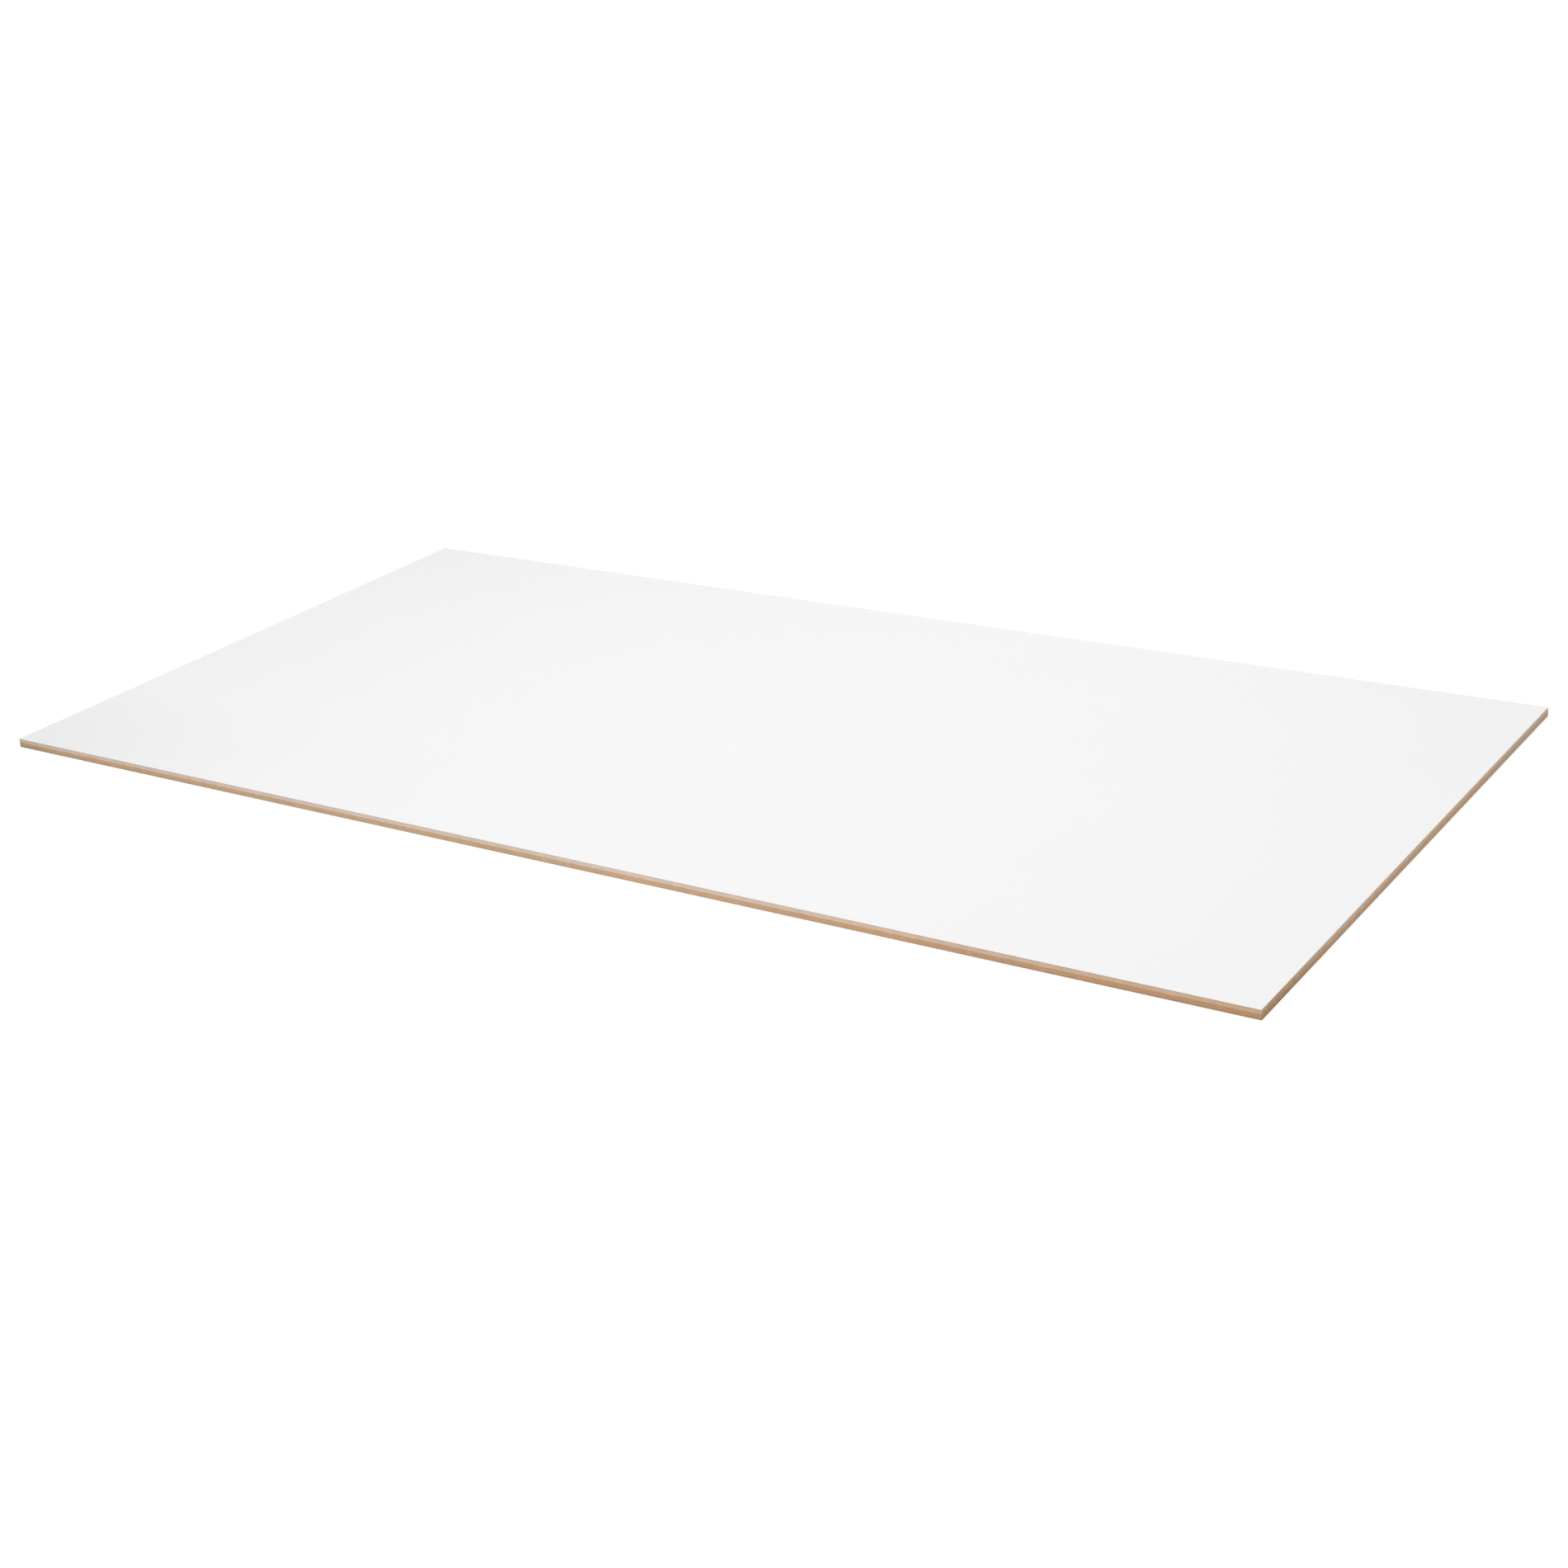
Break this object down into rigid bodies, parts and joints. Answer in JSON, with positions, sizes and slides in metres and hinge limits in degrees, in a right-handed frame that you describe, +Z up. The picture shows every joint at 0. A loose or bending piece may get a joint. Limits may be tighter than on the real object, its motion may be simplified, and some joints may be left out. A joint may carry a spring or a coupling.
{
  "type": "medium density fibreboard panel",
  "caption": "Flat rectangular fibreboard panel with a smooth white face and bare sawn edges, for shelving, linings and cabinet work.",
  "frame": {"origin": "centre of the panel's underside", "axes": "+X along the panel's length, +Y across its width, +Z up through its thickness, out of the white face"},
  "size_m": [1.22, 0.61, 0.008],
  "materials": {
    "raw_fibreboard": "matte",
    "white_surface": "matte"
  },
  "bodies": {
    "root": {"fibreboard": "raw_fibreboard", "white_face": "white_surface"}
  },
  "joints": []
}
